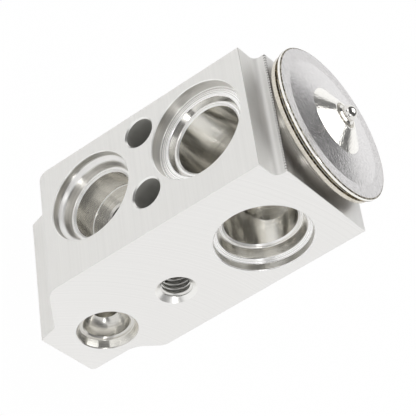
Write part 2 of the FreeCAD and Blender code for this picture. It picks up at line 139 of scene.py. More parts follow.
def close_tree(tree: Tree, result: Socket, finish: "Finish") -> None:
    """Realize a geometry tree's result, give it a finish and send it out."""
    realized = add(tree, "GeometryNodeRealizeInstances", {"Geometry": result})
    dressed = add(tree, "GeometryNodeSetMaterial", {
        "Geometry": realized.outputs[0],
        "Material": finish.material(),
    })
    add(tree, "NodeGroupOutput", {"Geometry": dressed.outputs[0]})


# Finishes

class Axis(Enum):
    """Direction that a surface was worked along, in the row frame."""

    X = (1.0, 0.0, 0.0)
    Y = (0.0, 1.0, 0.0)
    Z = (0.0, 0.0, 1.0)


@dataclass(frozen=True)
class Finish:
    """A plain surface of one colour, and the base of the patterned ones."""

    name: str
    colour: str
    roughness: float
    metallic: float = 1.0

    def material(self) -> bpy.types.Material:
        """Make this finish's material, or return it if it is made already."""
        found = bpy.data.materials.get(self.name)
        if found:
            return found
        made = bpy.data.materials.new(self.name)
        tree = emptied(made)
        shader = add(tree, "ShaderNodeBsdfPrincipled", {
            "Base Color": linear(self.colour),
            "Roughness": self.roughness,
            "Metallic": self.metallic,
        })
        add(tree, "ShaderNodeOutputMaterial", {"Surface": shader.outputs[0]})
        made.diffuse_color = linear(self.colour)
        self.pattern(tree, shader)
        return made

    def pattern(self, tree: Tree, shader: Node) -> None:
        """Add the finish's pattern; a plain finish has none."""

    def place(self, tree: Tree, scale: Sequence[float],
              centre_mm: Sequence[float] = (0.0, 0.0, 0.0)) -> Socket:
        """Object coordinates counted from a centre and times a scale for each axis, as a socket."""
        coordinates = add(tree, "ShaderNodeTexCoord")
        mapping = add(tree, "ShaderNodeMapping", {
            "Vector": coordinates.outputs["Object"],
            "Location": [-c * MM * factor for c, factor in zip(centre_mm, scale)],
            "Scale": scale,
        })
        return mapping.outputs[0]

    def speckle(self, tree: Tree, size_mm: float) -> Socket:
        """Even noise of one size over the whole surface, as a socket."""
        size = 1 / (size_mm * MM)
        noise = add(tree, "ShaderNodeTexNoise", {
            "Vector": self.place(tree, (size, size, size)),
            "Scale": 1.0,
            "Detail": 2.0,
        })
        return noise.outputs["Fac"]

    def rings(self, tree: Tree, distance: Socket, spacing_mm: float, detail: float) -> Socket:
        """Uneven rings that follow a distance, as a socket."""
        noise = add(tree, "ShaderNodeTexNoise", {
            "W": distance,
            "Scale": 1 / (spacing_mm * MM),
            "Detail": detail,
        }, noise_dimensions="1D")
        return noise.outputs["Fac"]

    def stretched(self, tree: Tree, source: Socket) -> Socket:
        """Noise, which seldom leaves its middle third, spread over the whole range from 0 to 1."""
        low, high = NOISE_RANGE
        spread = add(tree, "ShaderNodeMapRange", {"Value": source, "From Min": low, "From Max": high})
        return spread.outputs[0]

    def swung(self, tree: Tree, source: Socket, middle: float, swing: float) -> Socket:
        """A pattern from 0 to 1 turned into a swing to each side of a middle value, as a socket."""
        spread = add(tree, "ShaderNodeMapRange", {
            "Value": source,
            "To Min": middle - swing,
            "To Max": middle + swing,
        })
        return spread.outputs[0]

    def vary(self, tree: Tree, shader: Node, source: Socket,
             swings: tuple[float, float], depth_mm: float) -> None:
        """Drive lightness, roughness and bump from one pattern.

        Args:
            tree: The material's tree.
            shader: Its surface shader.
            source: The pattern, from 0 to 1.
            swings: How far lightness (as a share) and roughness go to each side of the finish's own.
            depth_mm: Height of the marks in millimetres.
        """
        lightness, roughness = swings
        shade = add(tree, "ShaderNodeHueSaturation", {
            "Value": self.swung(tree, source, 1.0, lightness),
            "Color": linear(self.colour),
        })
        tree.links.new(shade.outputs[0], shader.inputs["Base Color"])
        tree.links.new(self.swung(tree, source, self.roughness, roughness), shader.inputs["Roughness"])
        bump = add(tree, "ShaderNodeBump", {"Height": source, "Strength": 1.0, "Distance": depth_mm * MM})
        tree.links.new(bump.outputs[0], shader.inputs["Normal"])


@dataclass(frozen=True)
class ExtrudedAluminium(Finish):
    """Mill-finish extrusion: fine die lines run along the bar, so it looks combed in that direction."""

    line_spacing_mm: float = 0.35
    line_length_mm: float = 40.0
    line_depth_mm: float = 0.004
    swings: tuple[float, float] = (0.06, 0.06)

    def pattern(self, tree: Tree, shader: Node) -> None:
        """Long thin streaks along X."""
        across = 1 / (self.line_spacing_mm * MM)
        along = 1 / (self.line_length_mm * MM)
        lines = add(tree, "ShaderNodeTexNoise", {
            "Vector": self.place(tree, (along, across, across)),
            "Scale": 1.0,
            "Detail": 3.0,
        })
        self.vary(tree, shader, lines.outputs["Fac"], self.swings, self.line_depth_mm)


@dataclass(frozen=True)
class MilledAluminium(Finish):
    """Face cut with a fly cutter: fine arcs about the cutter's centre cross the face on a slant."""

    centre_mm: tuple[float, float] = (13.0, -13.0)
    feed_mm: float = 0.3
    cut_depth_mm: float = 0.004
    swings: tuple[float, float] = (0.06, 0.06)

    def pattern(self, tree: Tree, shader: Node) -> None:
        """Rings about an axis along X, far off the face, uneven as a worn tooth leaves them."""
        centred = self.place(tree, (0.0, 1.0, 1.0), (0.0, *self.centre_mm))
        radius = add(tree, "ShaderNodeVectorMath", {0: centred}, operation="LENGTH")
        arcs = self.rings(tree, radius.outputs["Value"], self.feed_mm, 2.0)
        self.vary(tree, shader, arcs, self.swings, self.cut_depth_mm)


@dataclass(frozen=True)
class BoredAluminium(Finish):
    """Wall or floor cut by a turning tool: rings run round it, and it smears light across them."""

    axis: Axis = Axis.Y
    centre_mm: tuple[float, float, float] = (0.0, 0.0, 0.0)
    ring_mm: float = 0.3
    ring_depth_mm: float = 0.0012
    swings: tuple[float, float] = (0.08, 0.03)
    anisotropy: float = 0.85

    def pattern(self, tree: Tree, shader: Node) -> None:
        """Rings about the port's axis, and highlights that are drawn out across the rings."""
        centred = self.place(tree, (1.0, 1.0, 1.0), self.centre_mm)
        axis = self.axis.value
        depth = add(tree, "ShaderNodeVectorMath", {0: centred, 1: axis}, operation="DOT_PRODUCT")
        around = add(tree, "ShaderNodeVectorMath", {0: axis, 1: centred}, operation="CROSS_PRODUCT")
        radius = add(tree, "ShaderNodeVectorMath", {0: around.outputs[0]}, operation="LENGTH")
        travel = add(tree, "ShaderNodeMath", {0: depth.outputs["Value"], 1: radius.outputs["Value"]})
        rings = self.stretched(tree, self.rings(tree, travel.outputs[0], self.ring_mm, 1.0))
        self.vary(tree, shader, rings, self.swings, self.ring_depth_mm)
        geometry = add(tree, "ShaderNodeNewGeometry")
        across = add(tree, "ShaderNodeVectorMath", {
            0: geometry.outputs["Normal"],
            1: around.outputs[0],
        }, operation="CROSS_PRODUCT")
        tree.links.new(across.outputs[0], shader.inputs["Tangent"])
        shader.inputs["Anisotropic"].default_value = self.anisotropy


@dataclass(frozen=True)
class GrainedSteel(Finish):
    """Pressed stainless sheet: leathery grain and slow waves break up and bend what it mirrors."""

    grain_mm: float = 0.42
    grain_depth_mm: float = 0.008
    wave_mm: float = 3.0
    wave_depth_mm: float = 0.03
    swings: tuple[float, float] = (0.09, 0.03)

    def pattern(self, tree: Tree, shader: Node) -> None:
        """Grain on top of the waves that pressing leaves."""
        grain = self.stretched(tree, self.speckle(tree, self.grain_mm))
        self.vary(tree, shader, grain, self.swings, self.grain_depth_mm)
        grain_bump = shader.inputs["Normal"].links[0].from_node
        waves = add(tree, "ShaderNodeBump", {
            "Height": self.stretched(tree, self.speckle(tree, self.wave_mm)),
            "Strength": 1.0,
            "Distance": self.wave_depth_mm * MM,
        })
        tree.links.new(waves.outputs[0], grain_bump.inputs["Normal"])


@dataclass(frozen=True)
class ScorchedSteel(Finish):
    """Rim where the covers are pinched and welded: bright metal between dark scale in uneven spots."""

    scale_colour: str = "2B2825"
    spot_mm: float = 0.35
    bare_share: float = 0.5
    edge_share: float = 0.05

    def pattern(self, tree: Tree, shader: Node) -> None:
        """Hard-edged spots of scale."""
        bare = add(tree, "ShaderNodeMapRange", {
            "Value": self.speckle(tree, self.spot_mm),
            "From Min": 1 - self.bare_share - self.edge_share,
            "From Max": 1 - self.bare_share + self.edge_share,
        })
        mixed = add(tree, "ShaderNodeMix", {
            "Factor": bare.outputs[0],
            6: linear(self.scale_colour),
            7: linear(self.colour),
        }, data_type="RGBA")
        tree.links.new(mixed.outputs[2], shader.inputs["Base Color"])


# Mill finish of the bar: pale and soft, combed along X by die lines, so it barely mirrors the room.
EXTRUDED = ExtrudedAluminium("extruded aluminium", "E6E5E2", 0.46, metallic=0.45)
# The two cut ends and the top: a paler satin with slanted arcs, a shade apart from the extruded faces.
MILLED = MilledAluminium("fly-cut aluminium", "EFEEEC", 0.38)
# The shelf's edge, drawn over with a file: a dull thin line between two bright faces.
BROKEN_EDGE = Finish("filed aluminium edge", "C6C4C0", 0.6, metallic=0.5)
# The end mill's notches, painted dark as a painted shade in them: dark ticks that make the ridge's edge look
# milled and not moulded. Their real pitch is about 0.45 mm, too fine to show, and is drawn at 0.58 mm.
EDGE_MARK_SHADE = Finish("edge marks of the end mill, painted shade", "6E6C67", 0.6, metallic=0.3)
# Each port's direction and centre, so that its rings run round its own axis, and how rough its cut is.
PORTS = (
    ("suction inlet", Axis.Y, (0, 0, 44.65), 0.2),
    ("suction outlet", Axis.X, (0, 0, 44.65), 0.2),
    ("evaporator inlet", Axis.Y, (0, 0, 21.2), 0.32),
    ("liquid inlet", Axis.X, (0, 0, 9.8), 0.26),
    ("valve axis", Axis.Z, (0, 0, 0), 0.3),
)


def for_ports(label: str, colour: str, roughness: Callable[[float], float],
              **details: object) -> dict[str, BoredAluminium]:
    """One cut finish for each port, with its rings about that port's axis.

    Args:
        label: What the cut is called.
        colour: Its sRGB hex colour.
        roughness: How rough it is, from how rough the port is cut.
        details: Other fields of the finish.

    Returns:
        The finish for each port's name.
    """
    return {
        name: BoredAluminium(f"{label} aluminium, {name}", colour, roughness(cut), axis=axis,
                             centre_mm=centre, **details)
        for name, axis, centre, cut in PORTS
    }


# Shoulders, tapers and chamfers: a little satin, with fine rings and soft glints; their nearly white colour
# and diffuse share are partly a painted highlight for the white bands that the shoulders catch.
FACED_HIGHLIGHT = for_ports("faced", "FBFAF8", lambda cut: cut + 0.08, metallic=0.65)
# Reamed bore walls: bright, and smeared along the bore, so lights turn into long streaks.
BORED = for_ports("bored", "ECEAE4", lambda cut: min(cut, 0.22), ring_mm=0.4, ring_depth_mm=0.0003,
                  swings=(0.03, 0.02), anisotropy=0.9)
# Pilot walls: duller, with coarser rings, and greyer as a painted shade, so they read as a dim band under the
# rim.
PILOT_WALL_SHADE = for_ports("form-cut", "D6D4CF", lambda cut: 0.34, ring_depth_mm=0.003, swings=(0.06, 0.04))
# Bottoms of blind bores: greyer as a painted shade, with rings that spread light in a fan.
FLOOR_SHADE = for_ports("painted-shade bottom-cut", "D6D4CF", lambda cut: 0.24)
# Tapered seal walls, rubbed by the form cutter: the brightest band, with sharp sparks.
BURNISHED = for_ports("burnished", "EAE8E3", lambda cut: cut, anisotropy=0.6)
# Twist-drilled bolt holes: rough and flat grey, painted dark as a painted shade, so they stay dark and plain
# inside.
DRILLED_HOLE_SHADE = Finish("drilled aluminium", "9C9B96", 0.9, metallic=0.0)
# The passage to the valve's seat: a rough hole painted dark, a painted shade that makes it look deep.
DEEP_PASSAGE_SHADE = Finish("deep-drilled aluminium, painted shade", "6A6964", 0.8, metallic=0.15)
# Chamfers at the holes' mouths: a light ring that shows each hole as deburred.
COUNTERSUNK = Finish("countersunk aluminium", "F6F5F2", 0.3)
# Tapped thread: bright crests and dark grooves.
TAPPED = Finish("tapped aluminium", "E4E3DF", 0.28, metallic=0.9)
# The lid's dish: satin sheet with a leathery grain, so reflections are broken and soft. The real grain is
# about 0.15 mm, too fine to show, and is drawn at 0.36 mm.
LID_STEEL = GrainedSteel("pressed stainless, satin", "DEDCDC", 0.2, grain_mm=0.36, grain_depth_mm=0.014,
                         wave_depth_mm=0.006, swings=(0.12, 0.05))
# The crown, stretched by the press: smoother, with bands of light and dark round the tip; its paler colour on
# the upward faces is a painted highlight.
CROWN_HIGHLIGHT_STEEL = GrainedSteel("pressed stainless, polished, painted highlight", "FAF8F3", 0.19, grain_mm=0.45, grain_depth_mm=0.014,
                           wave_depth_mm=0.015, swings=(0.04, 0.03))
# The lower cover: warmer drawn sheet, mostly in the lid's shade.
SHELL_STEEL = GrainedSteel("pressed stainless, drawn", "D8D2C6", 0.26)
# The lower cover's cone: dull brown-grey, a painted shade that stands for the shade under the head's rim.
CONE_UNDER_RIM_SHADE = GrainedSteel("pressed stainless, painted shade under the rim", "8A8276", 0.6)
# Side of the upper rim, rolled smooth and painted paler as a painted highlight: one thin white line round the
# head.
ROLLED_RIM_HIGHLIGHT = Finish("rolled stainless rim, painted highlight", "F7F5F0", 0.16)
# The weld between the covers: straw and brown specks of scale, and a warm dark line beside the white one,
# which is partly a painted shade under the upper rim's overhang.
WELD_SCALE_AND_SHADE = ScorchedSteel("weld seam, partly painted shade", "B3A585", 0.45, scale_colour="4A4030", spot_mm=0.45, bare_share=0.45)
# The lid's pinched edge: fine grey-brown spots that outline the disc.
RIM_STEEL = ScorchedSteel("stainless rim, scorched", "B9B3A5", 0.45, scale_colour="585142", spot_mm=0.45,
                          bare_share=0.5)
# Foot of the plug's skirt: lightly tinted ring where the plug is welded in.
TINTED_STEEL = ScorchedSteel("stainless, tinted by the weld", "CFCABF", 0.25, bare_share=0.6)
# The plug's ball and skirt, melted smooth: a small mirror with sharp black and white.
WELDED_STEEL = Finish("welded plug steel", "E2E0DC", 0.06)
# Turned stainless of the neck and the holders: plain grey satin.
TURNED_STEEL = Finish("turned stainless steel", "BDBAB4", 0.25)
# Ground ball and rod: a clear mirror.
BRIGHT_STEEL = Finish("ground steel", "D5D4D1", 0.1)
# Spring wire, retainer and diaphragm: darker grey with soft glints.
SPRING_STEEL = Finish("spring steel", "A9A7A2", 0.3)
# The sensing shaft: paler than the steel around it.
TURNED_ALUMINIUM = Finish("turned aluminium", "D2D0CC", 0.3)
# The adjusting screw: yellow brass, the one warm colour on the base.
SCREW_BRASS = Finish("turned brass", "C9A24C", 0.28)
# O-rings: dull green rubber with no mirror in it.
SEAL_RUBBER = Finish("green nitrile rubber", "2B5C3A", 0.55, metallic=0.0)


# Helpers for meshes

def rounded(corners: Sequence[Corner]) -> Outline:
    """Closed outline through corners, with an arc for each corner that has a radius.

    Args:
        corners: (first, second, corner radius) for each corner, in order.

    Returns:
        Points of the outline.
    """
    points: Outline = []
    for i, (a, b, radius) in enumerate(corners):
        corner = Vector((a, b))
        if not radius:
            points.append((a, b))
            continue
        before = (Vector(corners[i - 1][:2]) - corner).normalized()
        after = (Vector(corners[(i + 1) % len(corners)][:2]) - corner).normalized()
        half = before.angle(after) / 2
        centre = corner + (before + after).normalized() * (radius / math.sin(half))
        start = corner + before * (radius / math.tan(half)) - centre
        swing = (math.pi - 2 * half) * math.copysign(1, before.cross(after))
        steps = max(2, math.ceil(abs(swing) / ROUND_STEP))
        for step in range(steps + 1):
            spoke = Matrix.Rotation(-swing * step / steps, 2) @ start
            points.append(tuple(centre + spoke))
    return points


def bores(start: float, steps: Sequence[Corner]) -> list[Corner]:
    """Half section of bores and cones one after another up the Z axis.

    Args:
        start: Height of the first one's foot.
        steps: (radius at its foot, radius at its top, height of its top) for each.

    Returns:
        Corners without radius, from the axis round to the axis.
    """
    corners = [(0, start, 0)]
    for foot_radius, top_radius, end in steps:
        for corner in ((foot_radius, start, 0), (top_radius, end, 0)):
            if corner != corners[-1]:
                corners.append(corner)
        start = end
    return corners if corners[-1][0] == 0 else corners + [(0, start, 0)]


def arc_through(start: Sequence[float], middle: Sequence[float], end: Sequence[float]) -> list[Corner]:
    """Corners without radius along the arc through three points, from the first to the last."""
    a, b, c = (Vector(point) for point in (start, middle, end))
    twice_area = 2 * (b - a).cross(c - a)
    to_b, to_c = (b - a).length_squared, (c - a).length_squared
    centre = a + Vector((
        ((c - a).y * to_b - (b - a).y * to_c) / twice_area,
        ((b - a).x * to_c - (c - a).x * to_b) / twice_area,
    ))
    spoke = a - centre
    first = -spoke.angle_signed(b - centre)
    swing = first + -(b - centre).angle_signed(c - centre)
    steps = max(2, math.ceil(abs(swing) / ROUND_STEP))
    return [(*(centre + Matrix.Rotation(swing * step / steps, 2) @ spoke), 0) for step in range(steps + 1)]


def face_finish(piece: Object, finish: Finish, chosen: Callable[[Face], bool]) -> None:
    """Give another finish to the faces of a piece that a test picks."""
    piece.data.materials.append(finish.material())
    for face in piece.data.polygons:
        if chosen(face):
            face.material_index = len(piece.data.materials) - 1


def placed(name: str, data: bpy.types.ID, place: Matrix = Matrix()) -> Object:
    """New object in the scene from its mesh, light or camera."""
    made = bpy.data.objects.new(name, data)
    made.matrix_world = place
    bpy.context.scene.collection.objects.link(made)
    return made


def add_ring(shape: bmesh.types.BMesh, points: Sequence[tuple[float, float]]) -> list[object]:
    """Closed ring through (radius, height) points, as the vertices and edges that a spin takes."""
    ring = [shape.verts.new((radius, 0, height)) for radius, height in points]
    return ring + [shape.edges.new((ring[i - 1], ring[i])) for i in range(len(ring))]


def mesh_object(name: str, shape: bmesh.types.BMesh, finish: Finish) -> Object:
    """Turn a bmesh in millimetres into an object in metres with outward faces and one finish."""
    bmesh.ops.remove_doubles(shape, verts=shape.verts, dist=MERGE_MM)
    bmesh.ops.recalc_face_normals(shape, faces=shape.faces)
    bmesh.ops.scale(shape, vec=(MM, MM, MM), verts=shape.verts)
    mesh = bpy.data.meshes.new(name)
    shape.to_mesh(mesh)
    shape.free()
    mesh.materials.append(finish.material())
    return placed(name, mesh)


def turned(name: str, corners: Sequence[Corner], finish: Finish, place: Matrix = Matrix()) -> Object:
    """Solid of revolution about Z.

    Args:
        name: The object's name.
        corners: (radius, height, corner radius) round the half section.
        finish: The surface's finish.
        place: Where the solid goes, applied to its mesh.

    Returns:
        The object.
    """
    shape = bmesh.new()
    bmesh.ops.spin(shape, geom=add_ring(shape, rounded(corners)), cent=(0, 0, 0), axis=(0, 0, 1),
                   dvec=(0, 0, 0), angle=math.tau, steps=TURN_SEGMENTS, use_merge=True)
    bmesh.ops.remove_doubles(shape, verts=shape.verts, dist=MERGE_MM)
    bmesh.ops.transform(shape, matrix=place, verts=shape.verts)
    return mesh_object(name, shape, finish)


def thread_cutter(name: str, crest: float, root: float, pitch: float, turns: float, finish: Finish,
                  place: Matrix) -> Object:
    """Cutter of an internal 60 degree thread about Z, from one and a half pitches below the origin.

    Args:
        name: The object's name.
        crest: Radius of the drilled hole.
        root: Radius at the bottom of the groove.
        pitch: Distance from turn to turn.
        turns: Number of turns.
        finish: The groove's finish.
        place: Where the cutter goes, applied to its mesh.

    Returns:
        The cutter.
    """
    overlap = 0.08
    flat = pitch / 16
    wide = flat + (root - crest + overlap) * math.tan(THREAD_HALF_ANGLE)
    foot = -1.5 * pitch
    section = ((crest - overlap, foot - wide), (root, foot - flat), (root, foot + flat),
               (crest - overlap, foot + wide))
    steps = math.ceil(HELIX_STEPS * turns)
    climb = (0, 0, pitch * turns / steps)
    shape = bmesh.new()
    bmesh.ops.spin(shape, geom=add_ring(shape, section), cent=(0, 0, 0), axis=(0, 0, 1), dvec=climb,
                   angle=math.tau * turns, steps=steps)
    bmesh.ops.holes_fill(shape, edges=[edge for edge in shape.edges if edge.is_boundary], sides=4)
    bmesh.ops.transform(shape, matrix=place, verts=shape.verts)
    return mesh_object(name, shape, finish)


def bar(name: str, corners: Sequence[Corner], start: float, end: float, finish: Finish) -> Object:
    """Extrusion along X of an outline in the YZ plane."""
    shape = bmesh.new()
    face = shape.faces.new([shape.verts.new((start, y, z)) for y, z in rounded(corners)])
    far = bmesh.ops.extrude_face_region(shape, geom=[face])
    moved = [part for part in far["geom"] if isinstance(part, bmesh.types.BMVert)]
    bmesh.ops.translate(shape, vec=(end - start, 0, 0), verts=moved)
    return mesh_object(name, shape, finish)


def plain(source: Object, name: str) -> Object:
    """Replace an object and its modifiers by one with a plain mesh."""
    depsgraph = bpy.context.evaluated_depsgraph_get()
    mesh = bpy.data.meshes.new_from_object(source.evaluated_get(depsgraph), depsgraph=depsgraph)
    bpy.data.objects.remove(source)
    mesh.name = name
    return placed(name, mesh)


def settle(source: Object, name: str, smooth_angle: float = SMOOTH_ANGLE) -> Object:
    """Make an object's mesh plain and smooth up to its sharp edges, with wide faces kept flat or straight.

    Args:
        source: The object, with its modifiers; it is removed.
        name: The name of the result.
        smooth_angle: Faces that meet at more than this stay apart with a sharp edge.

    Returns:
        The object with the plain mesh, whose normals lean on the wider faces at each edge.
    """
    made = plain(source, name)
    made.data.polygons.foreach_set("use_smooth", [True] * len(made.data.polygons))
    made.data.set_sharp_from_angle(angle=smooth_angle)
    weighted = made.modifiers.new("normals", "WEIGHTED_NORMAL")
    weighted.mode = "FACE_AREA"
    weighted.weight = 100
    weighted.keep_sharp = True
    return plain(made, name)


def carve(blank: Object, cutters: Sequence[Object]) -> Object:
    """Cut solids out of a blank; each cut keeps its cutter's finish.

    Args:
        blank: What is cut, with its finishes.
        cutters: Solids that are taken away and then deleted.

    Returns:
        The cut object with a plain mesh and the blank's name.
    """
    for cutter in cutters:
        cut = blank.modifiers.new("cut", "BOOLEAN")
        cut.object = cutter
        cut.operation = "DIFFERENCE"
        cut.solver = "EXACT"
        cut.material_mode = "TRANSFER"
    made = settle(blank, blank.name, CUT_ANGLE)
    for cutter in cutters:
        bpy.data.objects.remove(cutter)
    return made


def grow(name: str, tree: Tree, sizes: dict[str, float]) -> Object:
    """Make a plain mesh object from a geometry tree.

    Args:
        name: The object's name.
        tree: The geometry tree.
        sizes: Value for each of the tree's named inputs.

    Returns:
        The object.
    """
    seed = placed(name, bpy.data.meshes.new(name))
    modifier = seed.modifiers.new("form", "NODES")
    modifier.node_group = tree
    for item in tree.interface.items_tree:
        if item.item_type == "SOCKET" and item.in_out == "INPUT" and item.name in sizes:
            modifier[item.identifier] = sizes[item.name]
    return settle(seed, name)


def helix_tree(name: str, wire_sides: int, finish: Finish) -> Tree:
    """Geometry tree of a wire that follows a helix up the Z axis.

    Args:
        name: The tree's name.
        wire_sides: Corners of the wire's section.
        finish: The finish of the result.

    Returns:
        The tree, with inputs Turns, Radius, Height, Section Radius and Base Height.
    """
    tree = geometry_tree(name, ("Turns", "Radius", "Height", "Section Radius", "Base Height"))
    sizes = add(tree, "NodeGroupInput").outputs
    helix = add(tree, "GeometryNodeCurveSpiral", {
        "Resolution": HELIX_STEPS,
        "Rotations": sizes["Turns"],
        "Start Radius": sizes["Radius"],
        "End Radius": sizes["Radius"],
        "Height": sizes["Height"],
    })
    upright = add(tree, "GeometryNodeSetCurveNormal", {"Curve": helix.outputs[0]}, mode="Z_UP")
    section = add(tree, "GeometryNodeCurvePrimitiveCircle", {
        "Resolution": wire_sides,
        "Radius": sizes["Section Radius"],
    })
    swept = add(tree, "GeometryNodeCurveToMesh", {
        "Curve": upright.outputs[0],
        "Profile Curve": section.outputs[0],
        "Fill Caps": True,
    })
    lift = add(tree, "ShaderNodeCombineXYZ", {"Z": sizes["Base Height"]})
    lifted = add(tree, "GeometryNodeTransform", {
        "Geometry": swept.outputs[0],
        "Translation": lift.outputs[0],
    })
    close_tree(tree, lifted.outputs[0], finish)
    return tree


# The block

@dataclass
class LargePort:
    """Form-cut port for a tube with a collar: pilot, sloped shoulder, tapered seal wall, land and bore."""

    pilot_radius: float
    pilot_depth: float
    shoulder_depth: float
    land_depth: float
    bore_radius: float
    bore_depth: float
    pilot_corner: float = 0.12
    seal_corner: float = 0.4
    seal_outer: float = 7.7
    seal_inner: float = 7.15
    land_radius: float = 6.7
    land_corner: float = 0.1
    lip_groove: float = 0.1
    edge_break: float = 0.15

    def section(self) -> list[Corner]:
        """Half section of the cutter, with depth up the Z axis from the mouth."""
        lip_depth = self.land_depth + self.land_radius - self.bore_radius
        groove_depth = self.land_depth + self.lip_groove
        return [
            (0, -OVERCUT, 0),
            (self.pilot_radius + self.edge_break + OVERCUT, -OVERCUT, 0),
            (self.pilot_radius, self.edge_break, 0),
            (self.pilot_radius, self.pilot_depth, self.pilot_corner),
            (self.seal_outer, self.shoulder_depth, self.seal_corner),
            (self.seal_inner, self.land_depth, self.land_corner),
            (self.land_radius + self.lip_groove, self.land_depth, 0),
            (self.land_radius + self.lip_groove, groove_depth, 0),
            (self.land_radius, groove_depth, 0),
            (self.land_radius, self.land_depth, 0),
            (self.bore_radius, lip_depth, 0),
            (self.bore_radius, self.bore_depth, 0),
            (0, self.bore_depth, 0),
        ]


@dataclass
class LiquidPort:
    """Small form-cut port: chamfered taper, step, bore and the drilled passage to the ball chamber."""

    mouth_radius: float = 5.4
    edge_break: float = 0.15
    taper_radius: float = 4.85
    step_depth: float = 1.4
    step_radius: float = 4.3
    step_corner: float = 0.1
    bore_radius: float = 4.05
    bore_depth: float = 3.5
    passage_radius: float = 2.3
    drill_half_angle: float = math.radians(59)

    def section(self, length: float) -> list[Corner]:
        """Half section of the cutter, with depth up the Z axis from the mouth to a length."""
        lip_depth = self.step_depth + self.step_radius - self.bore_radius
        point = (self.bore_radius - self.passage_radius) / math.tan(self.drill_half_angle)
        return [
            (0, -OVERCUT, 0),
            (self.mouth_radius + self.edge_break + OVERCUT, -OVERCUT, 0),
            (self.mouth_radius, self.edge_break, 0),
            (self.taper_radius, self.step_depth, self.step_corner),
            (self.step_radius, self.step_depth, 0),
            (self.bore_radius, lip_depth, 0),
            (self.bore_radius, self.bore_depth, 0),
            (self.passage_radius, self.bore_depth + point, 0),
            (self.passage_radius, length, 0),
            (0, length, 0),
        ]


@dataclass
class AxisBores:
    """Bores along the valve axis: screw, ball chamber, seat, rod, its seal, shaft and the head's pocket."""

    screw_radius: float = 5.0
    screw_chamfer: float = 0.4
    screw_top_z: float = 4.0
    chamber_radius: float = 4.4
    chamber_top_z: float = 15.5
    seat_radius: float = 2.4
    orifice_radius: float = 1.3
    rod_radius: float = 1.25
    seal_z: float = 35.4
    seal_radius: float = 2.7
    shaft_radius: float = 4.4
    pocket_z: float = 52.6
    pocket_radius: float = 9.0
    pocket_chamfer: float = 1.5
    overlap: float = 0.1

    def lower(self, orifice_top_z: float) -> list[Corner]:
        """Half section from the base up to the rod's seal."""
        mouth_radius = self.screw_radius + self.screw_chamfer + OVERCUT
        seat_top_z = self.chamber_top_z + self.seat_radius - self.orifice_radius
        return bores(-OVERCUT, [
            (mouth_radius, self.screw_radius, self.screw_chamfer),
            (self.screw_radius, self.screw_radius, self.screw_top_z),
            (self.chamber_radius, self.chamber_radius, self.chamber_top_z),
            (self.seat_radius, self.orifice_radius, seat_top_z),
            (self.orifice_radius, self.orifice_radius, orifice_top_z),
            (self.rod_radius, self.rod_radius, self.seal_z),
        ])

    def upper(self, shaft_foot_z: float, block_height: float) -> list[Corner]:
        """Half section from the rod's seal up to the block's top."""
        mouth_radius = self.pocket_radius + self.pocket_chamfer + OVERCUT
        return bores(self.seal_z - self.overlap, [
            (self.rod_radius, self.rod_radius, self.seal_z),
            (self.seal_radius, self.seal_radius, shaft_foot_z),
            (self.shaft_radius, self.shaft_radius, self.pocket_z),
            (self.pocket_radius, self.pocket_radius, block_height - self.pocket_chamfer),
            (self.pocket_radius, mouth_radius, block_height + OVERCUT),
        ])


